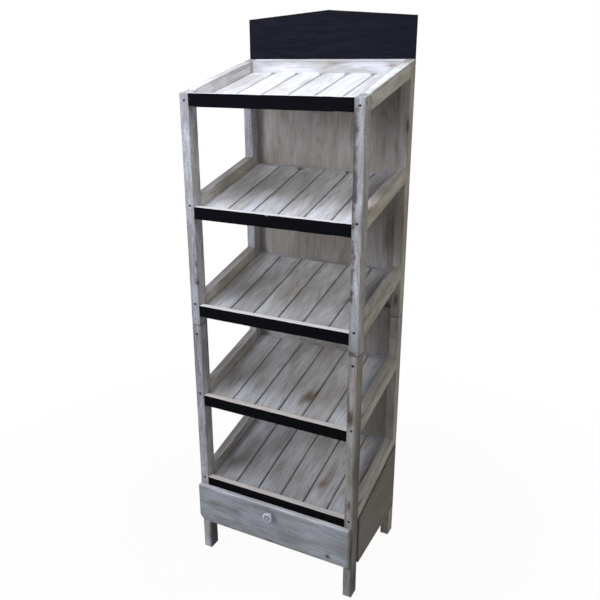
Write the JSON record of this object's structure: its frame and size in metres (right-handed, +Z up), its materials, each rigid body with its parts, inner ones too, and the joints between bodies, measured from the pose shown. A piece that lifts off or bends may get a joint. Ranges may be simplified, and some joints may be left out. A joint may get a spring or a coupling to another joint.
{
  "type": "shelved display unit",
  "caption": "Free-standing shop display stand in whitewashed wood with sloping slatted shelves, black fascias, a gabled header board and a drawer.",
  "frame": {"origin": "on the floor, at the middle of the stand's overall width and depth (drawer knob and header included)", "axes": "+Z up, +Y to the rear, +X to the right as seen from the front"},
  "size_m": [0.54, 0.4084, 1.67],
  "materials": {
    "whitewashed_pine": "whitewashed and rubbed back, matt",
    "whitewashed_slats": "whitewashed and rubbed back, matt, brown and olive patches",
    "whitewashed_board": "thin board, whitewashed and rubbed back, matt",
    "whitewashed_drawer": "whitewashed and rubbed back, matt, bluish",
    "black_painted_pine": "black paint, matt",
    "chalkboard_paint": "blue-black chalkboard paint, matt",
    "bare_pine": "bare planed softwood",
    "painted_knob": "white paint, satin",
    "zinc_steel": "zinc-plated, dull"
  },
  "bodies": {
    "stand": {"upper_front_post_left": "whitewashed_pine", "upper_front_post_right": "whitewashed_pine", "upper_rear_post_left": "whitewashed_pine", "upper_rear_post_right": "whitewashed_pine", "lower_front_post_left": "whitewashed_pine", "lower_front_post_right": "whitewashed_pine", "lower_rear_post_left": "whitewashed_pine", "lower_rear_post_right": "whitewashed_pine", "shelf_1_slats": "whitewashed_slats", "shelf_1_fascia": "black_painted_pine", "shelf_1_rail_left": "whitewashed_pine", "shelf_1_rail_right": "whitewashed_pine", "shelf_1_rear_rail": "whitewashed_pine", "shelf_2_slats": "whitewashed_slats", "shelf_2_fascia": "black_painted_pine", "shelf_2_rail_left": "whitewashed_pine", "shelf_2_rail_right": "whitewashed_pine", "shelf_2_rear_rail": "whitewashed_pine", "shelf_3_slats": "whitewashed_slats", "shelf_3_fascia": "black_painted_pine", "shelf_3_rail_left": "whitewashed_pine", "shelf_3_rail_right": "whitewashed_pine", "shelf_3_rear_rail": "whitewashed_pine", "shelf_4_slats": "whitewashed_slats", "shelf_4_fascia": "black_painted_pine", "shelf_4_rail_left": "whitewashed_pine", "shelf_4_rail_right": "whitewashed_pine", "shelf_4_rear_rail": "whitewashed_pine", "shelf_5_slats": "whitewashed_slats", "shelf_5_fascia": "black_painted_pine", "shelf_5_rail_left": "whitewashed_pine", "shelf_5_rail_right": "whitewashed_pine", "shelf_5_rear_rail": "whitewashed_pine", "deck_battens": "whitewashed_pine", "joint_rail": "whitewashed_pine", "upper_back_panel": "whitewashed_board", "lower_back_panel": "whitewashed_board", "header": "chalkboard_paint", "base_rail_left": "whitewashed_pine", "base_rail_right": "whitewashed_pine", "base_panel_left": "whitewashed_board", "base_panel_right": "whitewashed_board", "runner_left": "bare_pine", "runner_right": "bare_pine", "kicker_left": "bare_pine", "kicker_right": "bare_pine", "drawer_stops": "bare_pine", "long_screws": "zinc_steel", "short_screws": "zinc_steel", "joint_dowels": "bare_pine", "cross_dowels": "bare_pine", "panel_pins": "zinc_steel"},
    "drawer": {"drawer_front": "whitewashed_drawer", "drawer_side_left": "bare_pine", "drawer_side_right": "bare_pine", "drawer_back": "bare_pine", "drawer_bottom": "bare_pine", "drawer_knob": "painted_knob", "knob_screw": "zinc_steel", "drawer_dowels": "bare_pine"}
  },
  "joints": [
    {"name": "drawer_slide", "type": "slide", "parent": "stand", "child": "drawer", "axis": [0, -1, 0], "range_m": [0, 0.22]}
  ]
}
